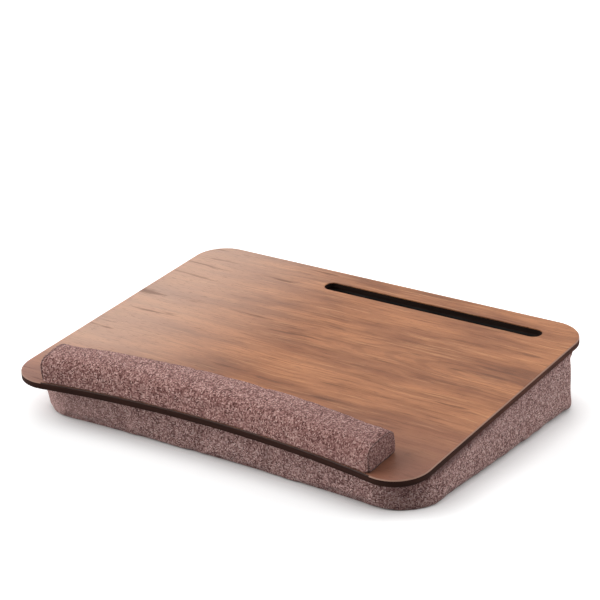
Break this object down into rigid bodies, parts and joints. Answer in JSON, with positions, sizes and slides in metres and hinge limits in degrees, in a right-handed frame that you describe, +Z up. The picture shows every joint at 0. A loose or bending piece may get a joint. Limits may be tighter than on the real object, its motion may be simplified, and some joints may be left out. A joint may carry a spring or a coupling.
{
  "type": "cushioned lap desk",
  "caption": "Wedge lap desk: wood-grain board on a fabric cushion, with a palm rest, a tablet slot and a drawer that slides out of its left side.",
  "frame": {"origin": "on the table under the middle of the board's outline", "axes": "+X to the user's right along the board's width, +Y away from the user towards the high rear edge, +Z up"},
  "size_m": [0.434, 0.3312, 0.0733],
  "materials": {
    "wood_laminate": "satin wood-grain laminate",
    "core_board": "fibreboard with painted slot walls",
    "under_sheet": "plain matt sheet",
    "edge_strip": "dark brown satin edge strip",
    "black_plastic": "fine textured moulding",
    "hardboard": "raw hardboard",
    "foam": "cut foam",
    "linen": "heathered brown linen weave",
    "base_fabric": "non-slip woven underside",
    "felt": "felt",
    "tape": "adhesive tape",
    "runner_plastic": "slippery plastic",
    "strap": "leather-look strap",
    "steel": "zinc plated",
    "magnet": "nickel plated"
  },
  "bodies": {
    "desk": {"top_laminate": "wood_laminate", "top_board": "core_board", "under_laminate": "under_sheet", "edge_band": "edge_strip", "slot_trough": "black_plastic", "palm_tape": "tape", "palm_backing": "hardboard", "palm_foam": "foam", "palm_cover": "linen", "mounting_tapes": "tape", "carrier_plate": "hardboard", "cover_staples": "steel", "cover_wall": "linen", "cover_bottom": "base_fabric", "foam_front": "foam", "foam_rear": "foam", "foam_right": "foam", "foam_under": "foam", "foam_over": "foam", "drawer_sleeve": "black_plastic", "drawer_bezel": "black_plastic", "runner_strips": "runner_plastic", "drawer_stops": "black_plastic", "catch_magnets": "magnet"},
    "drawer": {"drawer_tray": "black_plastic", "drawer_liner": "felt", "drawer_front_board": "hardboard", "drawer_front_pad": "foam", "drawer_front_cover": "linen", "pull_tab": "strap", "front_screws": "steel", "catch_plates": "steel"}
  },
  "joints": [
    {"name": "drawer_slide", "type": "slide", "parent": "desk", "child": "drawer", "axis": [-1, 0, 0], "range_m": [0, 0.135]}
  ]
}
